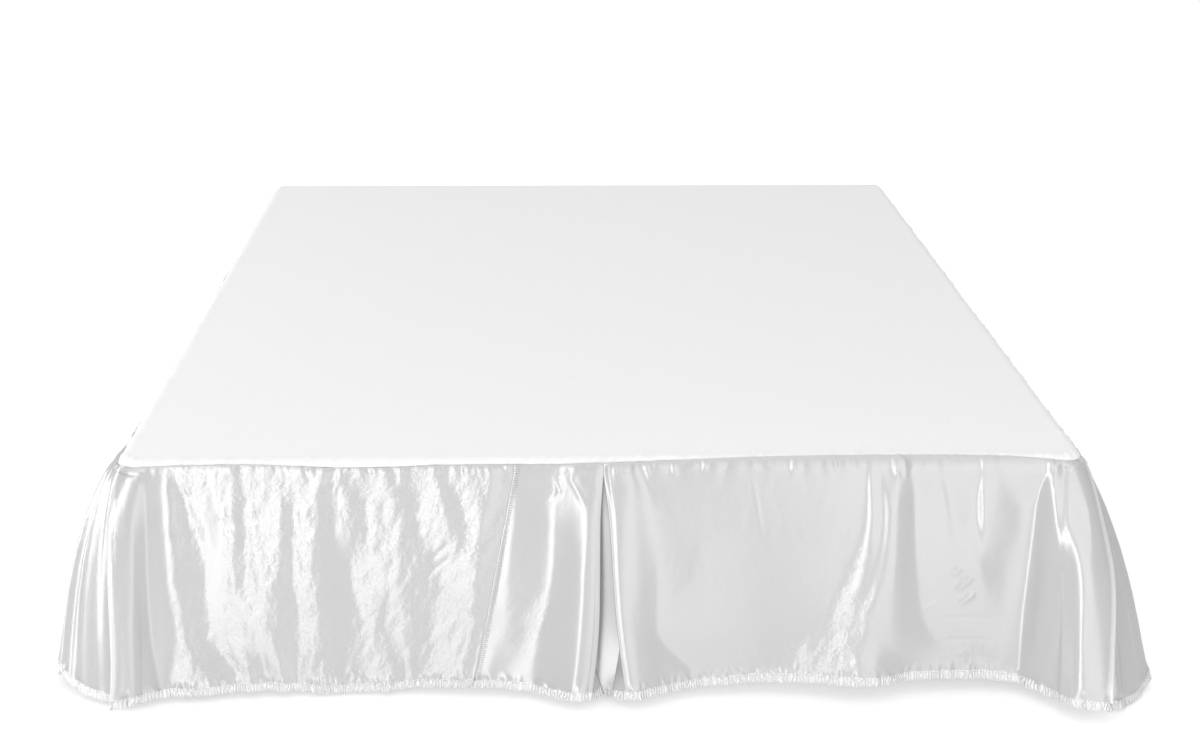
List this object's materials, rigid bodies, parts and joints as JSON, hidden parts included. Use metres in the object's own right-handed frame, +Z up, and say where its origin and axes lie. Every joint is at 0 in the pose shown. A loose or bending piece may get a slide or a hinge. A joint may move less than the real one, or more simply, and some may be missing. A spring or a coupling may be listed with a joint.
{
  "type": "bed skirt on a bed base",
  "caption": "White satin bed skirt with split corners and an inverted pleat at the foot, gathered onto a plain deck cloth that lies on a plain bed base with legs.",
  "frame": {"origin": "on the floor, under the middle of the part's box", "axes": "+Z up; -Y towards the foot of the bed, where the pleat is; +X to the right when facing the foot"},
  "size_m": [1.786, 2.1366, 0.3956],
  "materials": {
    "satin": "white polyester satin, soft bright sheen, narrow turned hems",
    "deck_cloth": "plain matte white woven cloth",
    "base_cloth": "plain matte grey upholstery cloth",
    "leg_wood": "dark stained wood"
  },
  "bodies": {
    "root": {"deck": "deck_cloth", "front_skirt_left": "satin", "front_skirt_right": "satin", "side_skirt_left": "satin", "side_skirt_right": "satin", "bed_base": "base_cloth", "leg_foot_left": "leg_wood", "leg_foot_right": "leg_wood", "leg_middle_left": "leg_wood", "leg_middle_right": "leg_wood", "leg_head_left": "leg_wood", "leg_head_right": "leg_wood"}
  },
  "joints": []
}
